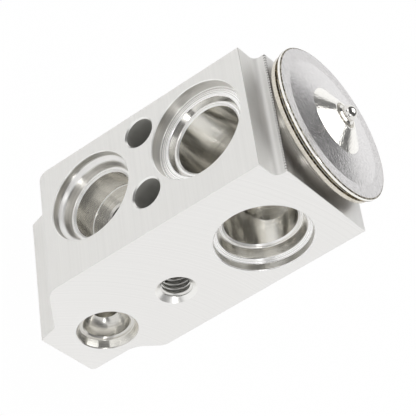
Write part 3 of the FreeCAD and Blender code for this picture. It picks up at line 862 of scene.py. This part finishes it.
@dataclass
class ValveBlock:
    """Extruded block with its ports, fixing holes and the bores along the valve axis."""

    height: float = 57.9
    pipe_face_x: float = 14.95
    blind_face_x: float = -11.45
    front_y: float = -15.9
    back_y: float = 11.15
    foot_front_y: float = -6.45
    foot_back_y: float = 7.3
    front_step: tuple[float, float] = (-7.54, 4.0)
    foot_corner: float = 0.9
    ramp_foot_corner: float = 4.5
    ramp_head_corner: float = 2.4
    cove_corner: float = 1.3
    slant_corner: float = 4.0
    slant_top_z: float = 10.15
    ramp_start_z: float = 9.9
    ridge_y: float = -11.35
    shelf_z: float = 55.66
    edge_break: float = 0.08
    suction_z: float = 44.65
    evaporator_z: float = 21.2
    liquid_z: float = 9.8
    suction_inlet: LargePort = field(default_factory=lambda: LargePort(9.4, 2.2, 2.35, 3.5, 6.45, 22.3))
    suction_outlet: LargePort = field(default_factory=lambda: LargePort(8.6, 1.4, 1.85, 3.75, 6.4, 14.95))
    evaporator_inlet: LargePort = field(default_factory=lambda: LargePort(
        8.6, 1.4, 1.85, 3.45, 6.4, 8.2, pilot_corner=0.7, seal_corner=1.0))
    liquid_inlet: LiquidPort = field(default_factory=LiquidPort)
    axis_bores: AxisBores = field(default_factory=AxisBores)
    floor_corner: float = 0.25
    floor_reach: float = 6.2
    finish_overlap: float = 0.05
    passage_radius: float = 2.5
    passage_chamfer: float = 0.36
    passage_end_y: float = 1.9
    bolt_hole_radius: float = 2.8
    bolt_hole_chamfer: float = 0.25
    bolt_hole_x: float = 6.8
    bolt_hole_z: float = 33.1
    tapped_z: float = 25.55
    tap_drill_radius: float = 2.5
    tapped_mouth_radius: float = 3.7
    tapped_mouth_half_angle: float = math.radians(50)
    tapped_mouth_depth: float = 1.2
    tapped_depth: float = 10.5
    thread_root_radius: float = 2.95
    thread_pitch: float = 1.0
    mark_pitch: float = 0.58
    mark_length: float = 0.8
    mark_height: float = 0.7
    mark_width: float = 0.18

    def outline(self) -> list[Corner]:
        """Section of the bar in the YZ plane."""
        ramp_end_z = self.ramp_start_z + self.back_y - self.foot_back_y
        return [
            (self.foot_front_y, 0, 0),
            (self.foot_back_y, 0, self.foot_corner),
            (self.foot_back_y, self.ramp_start_z, self.ramp_foot_corner),
            (self.back_y, ramp_end_z, self.ramp_head_corner),
            (self.back_y, self.height, 0),
            (self.ridge_y, self.height, 0),
            (self.ridge_y, self.shelf_z, self.cove_corner),
            (self.front_y, self.shelf_z, 0),
            (self.front_y, self.slant_top_z, self.slant_corner),
            (*self.front_step, 0),
        ]

    def into_front(self, x: float, z: float) -> Matrix:
        """Place of a cutter that enters the evaporator face."""
        return Matrix.Translation((x, self.front_y, z)) @ Matrix.Rotation(-math.pi / 2, 4, "X")

    def into_side(self, z: float) -> Matrix:
        """Place of a cutter that enters the pipe face."""
        return Matrix.Translation((self.pipe_face_x, 0, z)) @ Matrix.Rotation(-math.pi / 2, 4, "Y")

    def blank(self) -> Object:
        """Cut length of the bar with its edges broken and its milled faces marked."""
        length = bar("block_length", self.outline(), self.blind_face_x, self.pipe_face_x, EXTRUDED)
        bevel = length.modifiers.new("edges", "BEVEL")
        bevel.width = self.edge_break * MM
        bevel.segments = 2
        bevel.limit_method = "ANGLE"
        bevel.angle_limit = SMOOTH_ANGLE
        blank = settle(length, "valve_block_finished")
        near = 2 * self.edge_break * MM
        shelf_edge = Vector((self.front_y, self.shelf_z)) * MM
        face_finish(blank, MILLED, lambda face: abs(face.normal.x) > FACING or (
            face.normal.z > FACING and face.center.z > self.height * MM - near))
        face_finish(blank, BROKEN_EDGE, lambda face: (
            abs(face.normal.x) < ACROSS and (face.center.yz - shelf_edge).length < near))
        return blank

    def port_cutters(self) -> list[Object]:
        """Cutters of the four tube ports."""
        floor = self.evaporator_inlet.bore_depth
        blind = self.evaporator_inlet.section()[:-2] + [
            (self.evaporator_inlet.bore_radius, floor, self.floor_corner),
            (self.passage_radius + self.passage_chamfer, floor, 0),
            (self.passage_radius, floor + self.passage_chamfer, 0),
            (self.passage_radius, self.passage_end_y - self.front_y, 0),
            (0, self.passage_end_y - self.front_y, 0),
        ]
        liquid = self.liquid_inlet.section(self.pipe_face_x)
        ports = {
            "suction inlet": (self.suction_inlet.section(), self.into_front(0, self.suction_z)),
            "suction outlet": (self.suction_outlet.section(), self.into_side(self.suction_z)),
            "evaporator inlet": (blind, self.into_front(0, self.evaporator_z)),
            "liquid inlet": (liquid, self.into_side(self.liquid_z)),
        }
        cutters = []
        for name, (section, place) in ports.items():
            # The whole cutter starts with the shoulders' finish, which is partly a painted highlight.
            cutter = turned(name, section, FACED_HIGHLIGHT[name], place)
            axis = Vector(BORED[name].axis.value)
            centre = Vector(BORED[name].centre_mm) * MM
            # Pilot walls and bore bottoms get greyer colours: painted shade under the rim and deep in the
            # bores.
            finishes = {
                BORED[name]: (True, 0, LargePort.seal_inner),
                FLOOR_SHADE[name]: (False, 0, self.floor_reach),
                BURNISHED[name]: (True, LargePort.seal_inner - self.finish_overlap, LargePort.seal_outer),
                PILOT_WALL_SHADE[name]: (True, LargePort.seal_outer, self.pipe_face_x),
            }
            for finish, (is_wall, inner, outer) in finishes.items():
                face_finish(cutter, finish, lambda face: (
                    (abs(face.normal.dot(axis)) < WALL_TILT) == is_wall
                    and inner * MM < axis.cross(face.center - centre).length < outer * MM))
            cutters.append(cutter)
        passage = (self.passage_radius + self.finish_overlap) * MM
        # The passage's walls are painted dark: a painted shade deep in the hole.
        face_finish(cutters[2], DEEP_PASSAGE_SHADE, lambda face: (
            math.hypot(face.center.x, face.center.z - self.evaporator_z * MM) < passage))
        return cutters

    def fixing_cutters(self) -> list[Object]:
        """Cutters of the two bolt holes and the tapped hole with its thread."""
        through = self.back_y - self.front_y
        radius, chamfer = self.bolt_hole_radius, self.bolt_hole_chamfer
        mouth = radius + chamfer + OVERCUT
        bolt = bores(-OVERCUT, [
            (mouth, radius, chamfer),
            (radius, radius, through - chamfer),
            (radius, mouth, through + OVERCUT),
        ])
        drill_radius, slope = self.tap_drill_radius, math.tan(self.tapped_mouth_half_angle)
        point = drill_radius / math.tan(self.liquid_inlet.drill_half_angle)
        tap_drill = bores(-OVERCUT, [
            (self.tapped_mouth_radius + slope * OVERCUT, drill_radius,
             (self.tapped_mouth_radius - drill_radius) / slope),
            (drill_radius, drill_radius, self.tapped_depth),
            (drill_radius, 0, self.tapped_depth + point),
        ])
        thread = thread_cutter("thread groove", drill_radius, self.thread_root_radius, self.thread_pitch,
                               self.tapped_depth / self.thread_pitch, TAPPED, self.into_side(self.tapped_z))
        # The bolt holes' walls are painted flat dark grey: a painted shade.
        holes = [
            turned("bolt hole", bolt, DRILLED_HOLE_SHADE, self.into_front(x, self.bolt_hole_z))
            for x in (-self.bolt_hole_x, self.bolt_hole_x)
        ]
        drill = turned("tap drill", tap_drill, TAPPED, self.into_side(self.tapped_z))
        for hole in holes:
            face_finish(hole, COUNTERSUNK, lambda face: abs(face.normal.y) > ACROSS)
        mouth_x = (self.pipe_face_x - self.tapped_mouth_depth) * MM
        face_finish(drill, COUNTERSUNK, lambda face: face.center.x > mouth_x and abs(face.normal.x) > ACROSS)
        return holes + [drill, thread]

    def axis_cutters(self) -> list[Object]:
        """Cutters of the bores along the valve axis, from the screw's thread up to the head's pocket."""
        sections = {
            "lower axis bores": self.axis_bores.lower(self.evaporator_z),
            "upper axis bores": self.axis_bores.upper(self.suction_z, self.height),
        }
        return [turned(name, section, BORED["valve axis"]) for name, section in sections.items()]

    def edge_marks(self) -> Object:
        """Cutter of the row of marks that the end mill leaves along the ridge's edge."""
        lengths = ("Pitch", "Length", "Height", "Width", "Start X", "Edge Y", "Edge Z")
        tree = geometry_tree("edge marks", lengths, ("Count",))
        sizes = add(tree, "NodeGroupInput").outputs
        start = add(tree, "ShaderNodeCombineXYZ", {
            "X": sizes["Start X"],
            "Y": sizes["Edge Y"],
            "Z": sizes["Edge Z"],
        })
        step = add(tree, "ShaderNodeCombineXYZ", {"X": sizes["Pitch"]})
        row = add(tree, "GeometryNodeMeshLine", {
            "Count": sizes["Count"],
            "Start Location": start.outputs[0],
            "Offset": step.outputs[0],
        })
        size = add(tree, "ShaderNodeCombineXYZ", {
            "X": sizes["Width"],
            "Y": sizes["Length"],
            "Z": sizes["Height"],
        })
        mark = add(tree, "GeometryNodeMeshCube", {"Size": size.outputs[0]})
        marks = add(tree, "GeometryNodeInstanceOnPoints", {
            "Points": row.outputs[0],
            "Instance": mark.outputs[0],
        })
        # The marks' faces get a painted shade.
        close_tree(tree, marks.outputs[0], EDGE_MARK_SHADE)
        return grow("edge marks", tree, {
            "Pitch": self.mark_pitch * MM,
            "Length": self.mark_length * MM,
            "Height": self.mark_height * MM,
            "Width": self.mark_width * MM,
            "Count": int((self.pipe_face_x - self.blind_face_x) / self.mark_pitch),
            "Start X": (self.blind_face_x + self.mark_pitch / 2) * MM,
            "Edge Y": self.ridge_y * MM,
            "Edge Z": self.height * MM,
        })

    def build(self) -> Object:
        """Cut the block and put it on the valve's body in place of the plain solid."""
        cutters = self.port_cutters() + self.fixing_cutters() + self.axis_cutters() + [self.edge_marks()]
        block = carve(self.blank(), cutters)
        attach(block, "valve_body")
        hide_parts("valve_block")
        return block


# The power head

@dataclass(frozen=True)
class Band:
    """Ring of faces about the Z axis, told by their centres' radius and height and their normals' tilt."""

    inner: float = -math.inf
    outer: float = math.inf
    low: float = -math.inf
    high: float = math.inf
    tilt: tuple[float, float] = (-math.inf, math.inf)

    def holds(self, face: Face) -> bool:
        """Whether a face lies in the band."""
        return (self.inner * MM < face.center.xy.length < self.outer * MM
                and self.low * MM < face.center.z < self.high * MM
                and self.tilt[0] < face.normal.z < self.tilt[1])


@dataclass
class PowerHead:
    """Two pressed covers welded at the rim, on a turned neck, with the plug that seals the charge in."""

    block_height: float = 57.9
    flange_height: float = 0.9
    sheet: float = 0.9
    cover_bore: float = 6.6
    cone_foot_radius: float = 10.4
    cone_top_radius: float = 12.2
    lower_rim_radius: float = 14.35
    lower_rim_z: float = 59.8
    lower_rim_thickness: float = 1.1
    diaphragm_thickness: float = 0.15
    upper_rim_radius: float = 14.75
    upper_rim_z: float = 62.1
    dish_radius: float = 12.05
    crown_base_radius: float = 6.35
    crown_base_z: float = 62.78
    crown_top_radius: float = 2.76
    crown_top_z: float = 64.65
    fill_hole_radius: float = 1.15
    skirt_radius: float = 1.5
    tip_radius: float = 1.45
    tip_z: float = 65.35
    neck_drop: float = 0.35
    seam_top_z: float = 61.55

    def lower_cover(self) -> list[Corner]:
        """Half section of the lower cover."""
        floor = self.block_height + self.flange_height
        rim_top = self.lower_rim_z + self.lower_rim_thickness
        rim = self.lower_rim_radius
        return [
            (self.cover_bore, floor, 0.05),
            (self.cone_foot_radius, floor, 1.0),
            (self.cone_top_radius, self.lower_rim_z, 0.8),
            (rim, self.lower_rim_z, 0.25),
            (rim, rim_top - 0.2, 0.08),
            (rim - 0.25, rim_top, 0.08),
            (self.cone_top_radius + 0.1, rim_top, 0.6),
            (self.cone_foot_radius - 0.2, floor + self.sheet, 1.0),
            (self.cover_bore, floor + self.sheet, 0.05),
        ]

    def upper_cover(self) -> list[Corner]:
        """Half section of the upper cover."""
        rim_bottom = self.lower_rim_z + self.lower_rim_thickness + self.diaphragm_thickness
        return [
            (self.dish_radius + 0.6, rim_bottom, 0.4),
            (self.upper_rim_radius - 0.55, rim_bottom, 0.05),
            (self.upper_rim_radius, rim_bottom + 0.3, 0.1),
            (self.upper_rim_radius, self.seam_top_z, 0),
            (self.upper_rim_radius, self.upper_rim_z, 0.3),
            (self.dish_radius, self.upper_rim_z, 1.5),
            (self.crown_base_radius, self.crown_base_z, 0.35),
            (self.crown_top_radius, self.crown_top_z, 0.3),
            (self.fill_hole_radius, self.crown_top_z, 0),
            (self.fill_hole_radius, self.crown_top_z - self.sheet, 0),
            (self.crown_top_radius - 0.4, self.crown_top_z - self.sheet, 0.3),
            (self.crown_base_radius - 0.4, self.crown_base_z - self.sheet, 0.5),
            (self.dish_radius, self.upper_rim_z - self.sheet, 0.5),
        ]

    def sealing_plug(self) -> list[Corner]:
        """Half section of the plug: stem, concave skirt and ball."""
        skirt_top = self.tip_z - self.neck_drop
        skirt_foot = self.crown_top_radius - 0.3
        bottom = self.crown_top_z - self.sheet
        hollow = ((skirt_foot + self.skirt_radius) / 2 - 0.03, (self.crown_top_z + skirt_top) / 2 - 0.05)
        neck = (math.sqrt(self.tip_radius ** 2 - self.neck_drop ** 2), skirt_top)
        skirt = arc_through((skirt_foot, self.crown_top_z), hollow, (self.skirt_radius, skirt_top))
        ball = arc_through(neck, (self.tip_radius, self.tip_z), (0, self.tip_z + self.tip_radius))
        hole = self.fill_hole_radius
        return [(0, bottom, 0), (hole, bottom, 0), (hole, self.crown_top_z, 0)] + skirt + ball

    def bands(self) -> dict[str, dict[Finish, Band]]:
        """The finishes that each piece has besides its own, and the faces that show them."""
        # The seam band lies under the upper rim's overhang: weld specks, partly painted shade.
        seam_foot_z = self.lower_rim_z + self.lower_rim_thickness - 0.28
        seam = Band(inner=self.lower_rim_radius - 0.2, low=seam_foot_z, high=self.seam_top_z)
        return {
            "lower_cover": {
                # The cone's downward faces under the rim get a painted shade.
                CONE_UNDER_RIM_SHADE: Band(high=self.lower_rim_z + 0.06, tilt=(-math.inf, -0.1)),
                WELD_SCALE_AND_SHADE: seam,
            },
            "upper_cover": {
                # The crown's upward faces get a paler colour: a painted highlight.
                CROWN_HIGHLIGHT_STEEL: Band(outer=self.crown_base_radius + 0.05, low=self.crown_base_z,
                                  tilt=(0.3, math.inf)),
                WELD_SCALE_AND_SHADE: seam,
                # The rim's side gets a painted highlight.
                ROLLED_RIM_HIGHLIGHT: Band(inner=self.upper_rim_radius - 0.2, low=self.seam_top_z,
                                   tilt=(-math.inf, 0.5)),
                RIM_STEEL: Band(inner=self.upper_rim_radius - 0.3, low=self.upper_rim_z - 0.3,
                                tilt=(0.5, 0.999)),
            },
            "sealing_plug": {TINTED_STEEL: Band(low=self.crown_top_z, high=self.crown_top_z + 0.16)},
        }

    def build(self) -> list[Object]:
        """Turn the three visible pieces of the head and put them in place of the plain solids."""
        pieces = []
        parts = {
            "lower_cover": (self.lower_cover(), SHELL_STEEL, "pressed_steel"),
            "upper_cover": (self.upper_cover(), LID_STEEL, "pressed_steel"),
            "sealing_plug": (self.sealing_plug(), WELDED_STEEL, "bright_steel"),
        }
        bands = self.bands()
        for name, (section, sheet, slot) in parts.items():
            piece = settle(turned(name + "_blank", section, sheet), name + "_finished")
            for finish, band in bands[name].items():
                face_finish(piece, finish, band.holds)
            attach(piece, "valve_body")
            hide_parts(name)
            pieces.append(piece)
        return pieces


# Pieces that keep their plain solids, and the spring

@dataclass
class InnerParts:
    """Pieces inside the block and the head: their solids carry over and get their finishes."""

    finishes: dict[str, Finish] = field(default_factory=lambda: {
        "diaphragm": SPRING_STEEL,
        "threaded_neck": TURNED_STEEL,
        "head_seal": SEAL_RUBBER,
        "rod_seal": SEAL_RUBBER,
        "seal_retainer": SPRING_STEEL,
        "diaphragm_receiver": TURNED_STEEL,
        "sensing_shaft": TURNED_ALUMINIUM,
        "operating_rod": BRIGHT_STEEL,
        "valve_ball": BRIGHT_STEEL,
        "ball_holder": TURNED_STEEL,
        "damper_spring": SPRING_STEEL,
        "adjusting_screw": SCREW_BRASS,
        "screw_seal": SEAL_RUBBER,
    })

    def dress(self) -> list[Object]:
        """Give each carried-over solid its finish."""
        dressed = []
        for name, finish in self.finishes.items():
            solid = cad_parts[name]
            solid.data.materials.clear()
            solid.data.materials.append(finish.material())
            dressed.append(solid)
        return dressed


@dataclass
class ValveSpring:
    """Helical spring between the screw and the ball holder, in two halves that meet end to end.
    """

    mean_radius: float = 2.9
    wire_radius: float = 0.4
    bottom_z: float = 6.8
    top_z: float = 11.58
    lower_coils: float = 2.0
    upper_coils: float = 2.25
    wire_sides: int = 16

    def half(self, name: str, body: str, coils: float, base_z: float, pressed_z: float,
             still_z: float) -> Object:
        """Grow one half.

        Args:
            name: The object's name.
            body: Not used.
            coils: Number of turns.
            base_z: Height of the wire's centre at the half's foot.
            pressed_z: Not used.
            still_z: Not used.

        Returns:
            The half spring.
        """
        coil = grow(name, helix_tree(name, self.wire_sides, SPRING_STEEL), {
            "Turns": coils,
            "Radius": self.mean_radius * MM,
            "Height": self.rise() * coils * MM,
            "Section Radius": self.wire_radius * MM,
            "Base Height": base_z * MM,
        })
        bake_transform(coil)
        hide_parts("valve_spring")
        return coil

    def rise(self) -> float:
        """Height from one turn of the wire to the next."""
        return (self.top_z - self.bottom_z - 2 * self.wire_radius) / (self.lower_coils + self.upper_coils)

    def build(self) -> list[Object]:
        """Grow both halves, which meet where the lower one's last turn ends."""
        foot_z, head_z = self.bottom_z + self.wire_radius, self.top_z - self.wire_radius
        middle_z = foot_z + self.rise() * self.lower_coils
        return [
            self.half("valve_spring_lower", "screw_carriage", self.lower_coils, foot_z, foot_z,
                      middle_z - self.wire_radius),
            self.half("valve_spring_upper", "stem", self.upper_coils, middle_z, head_z,
                      middle_z + self.wire_radius),
        ]


# Studio

@dataclass
class Studio:
    """White sweep, grey ceiling and flags, a soft overhead light, two small key lamps, and the camera."""

    eye_mm: tuple[float, float, float] = (204.62, -208.90, 168.78)
    aim_mm: tuple[float, float, float] = (2.548, -0.615, 34.933)
    roll: float = math.radians(58.896)
    lens_mm: float = 158.72
    sensor_mm: float = 36.0
    floor_half_m: float = 3.0
    floor_glow: float = 0.98
    ceiling_height_m: float = 1.0
    ceiling_half_m: float = 1.4
    right_flag_m: tuple[float, float] = (-1.0, 0.05)
    front_flag_m: tuple[float, float] = (-0.4, 0.2)
    flag_foot_m: float = 0.02
    flag_height_m: float = 0.45
    softbox_m: float = 0.8
    softbox_watts: float = 4.6
    softbox_place_m: tuple[float, float] = (-0.17, 0.17)
    softbox_drop_m: float = 0.05
    key_lamps: tuple[tuple[float, float, float], ...] = ((0.912, -0.217, 0.349), (-0.095, -0.939, 0.332))
    key_distance_m: float = 1.1
    key_size_m: float = 0.16
    key_watts: float = 0.8
    world_light: float = 1.45

    def camera(self) -> Object:
        """Camera at the photograph's place, rolled as the photograph is."""
        eye, aim = Vector(self.eye_mm) * MM, Vector(self.aim_mm) * MM
        lens = bpy.data.cameras.new("camera")
        lens.lens = self.lens_mm
        lens.sensor_width = self.sensor_mm
        lens.clip_start = 0.01
        lens.clip_end = 20.0
        level = (aim - eye).to_track_quat("-Z", "Y").to_matrix().to_4x4()
        place = Matrix.Translation(eye) @ level @ Matrix.Rotation(self.roll, 4, "Z")
        camera = placed("camera", lens, place)
        bpy.context.scene.camera = camera
        return camera

    def panel(self, name: str, near: Corner, far: Corner) -> Object:
        """Flat panel of the set, level or upright, between two opposite corners in metres."""
        (x, y, z), (far_x, far_y, far_z) = near, far
        upright = far_z != z
        corners = [near, (far_x, far_y if upright else y, z), far, (x, y if upright else far_y, far_z)]
        shape = bmesh.new()
        shape.faces.new([shape.verts.new(corner) for corner in corners])
        mesh = bpy.data.meshes.new(name)
        shape.to_mesh(mesh)
        shape.free()
        made = placed(name, mesh)
        return made

    def seen(self, tree: Tree) -> Socket:
        """1 where the camera, a mirror or glass looks at the surface, else 0."""
        path = add(tree, "ShaderNodeLightPath").outputs
        seen = path["Is Camera Ray"]
        for kind in ("Is Glossy Ray", "Is Transmission Ray"):
            seen = add(tree, "ShaderNodeMath", {0: seen, 1: path[kind]}, operation="MAXIMUM").outputs[0]
        return seen

    def world(self) -> None:
        """White surroundings where they are seen, softer as a light."""
        world = bpy.data.worlds.new("studio")
        tree = emptied(world)
        light = add(tree, "ShaderNodeBackground", {"Color": linear("FFFFFF"), "Strength": self.world_light})
        white = add(tree, "ShaderNodeBackground", {"Color": linear("FFFFFF"), "Strength": 1.0})
        mixed = add(tree, "ShaderNodeMixShader", {
            0: self.seen(tree),
            1: light.outputs[0],
            2: white.outputs[0],
        })
        add(tree, "ShaderNodeOutputWorld", {"Surface": mixed.outputs[0]})
        bpy.context.scene.world = world

    def floor(self) -> None:
        """Pale floor that fades into white and keeps the valve's shadow."""
        half = self.floor_half_m
        floor = self.panel("floor", (-half, -half, 0), (half, half, 0))
        material = bpy.data.materials.new("white sweep")
        tree = emptied(material)
        paint = add(tree, "ShaderNodeBsdfDiffuse", {"Color": linear("FAFAFA")})
        glow = add(tree, "ShaderNodeEmission", {"Color": linear("FFFFFF"), "Strength": 1.0})
        share = add(tree, "ShaderNodeMath", {0: self.seen(tree), 1: self.floor_glow}, operation="MULTIPLY")
        mixed = add(tree, "ShaderNodeMixShader", {
            0: share.outputs[0],
            1: paint.outputs[0],
            2: glow.outputs[0],
        })
        add(tree, "ShaderNodeOutputMaterial", {"Surface": mixed.outputs[0]})
        floor.data.materials.append(material)

    def room(self) -> None:
        """Grey ceiling, and a grey flag in front of each ported face, which the polished metal mirrors."""
        half, top = self.ceiling_half_m, self.ceiling_height_m
        foot, high = self.flag_foot_m, self.flag_height_m
        (start_y, end_y), (start_x, end_x) = self.right_flag_m, self.front_flag_m
        ceiling_paint = Finish("dark ceiling paint", "5E5E5E", 0.9, metallic=0.0)
        flag_cloth = Finish("grey flag cloth", "5A5A5A", 0.9, metallic=0.0)
        panels = {
            "ceiling": (ceiling_paint, (-half, -half, top), (half, half, top)),
            "right flag": (flag_cloth, (half, start_y, foot), (half, end_y, high)),
            "front flag": (flag_cloth, (start_x, -half, foot), (end_x, -half, high)),
        }
        for name, (paint, near, far) in panels.items():
            self.panel(name, near, far).data.materials.append(paint.material())

    def lamp(self, name: str, size_m: float, watts: float, place: Matrix) -> None:
        """Square area lamp that shines down its own -Z."""
        light = bpy.data.lights.new(name, "AREA")
        light.shape = "SQUARE"
        light.size = size_m
        light.energy = watts
        placed(name, light, place)

    def lights(self) -> None:
        """Large soft light overhead, and two small lamps low to the right that spark in the seal walls."""
        above = Matrix.Translation((*self.softbox_place_m, self.ceiling_height_m - self.softbox_drop_m))
        self.lamp("softbox", self.softbox_m, self.softbox_watts, above)
        aim = Vector(self.aim_mm) * MM
        for direction in self.key_lamps:
            away = Vector(direction)
            turn = away.to_track_quat("Z", "Y").to_matrix().to_4x4()
            place = Matrix.Translation(aim + away * self.key_distance_m) @ turn
            self.lamp("key lamp", self.key_size_m, self.key_watts, place)

    def build(self) -> None:
        """Set up everything around the valve."""
        self.world()
        self.floor()
        self.room()
        self.lights()
        self.camera()
        bpy.context.scene.view_settings.view_transform = "Standard"


def main() -> None:
    """Build the valve's looks and the studio in order."""
    logging.basicConfig(level=logging.INFO, format="%(name)s: %(message)s")
    block = ValveBlock().build()
    LOG.info("%s: %d faces", block.name, len(block.data.polygons))
    for piece in PowerHead().build() + ValveSpring().build() + InnerParts().dress():
        LOG.info("%s: %d faces", piece.name, len(piece.data.polygons))
    Studio().build()


if __name__ == "__main__":
    main()
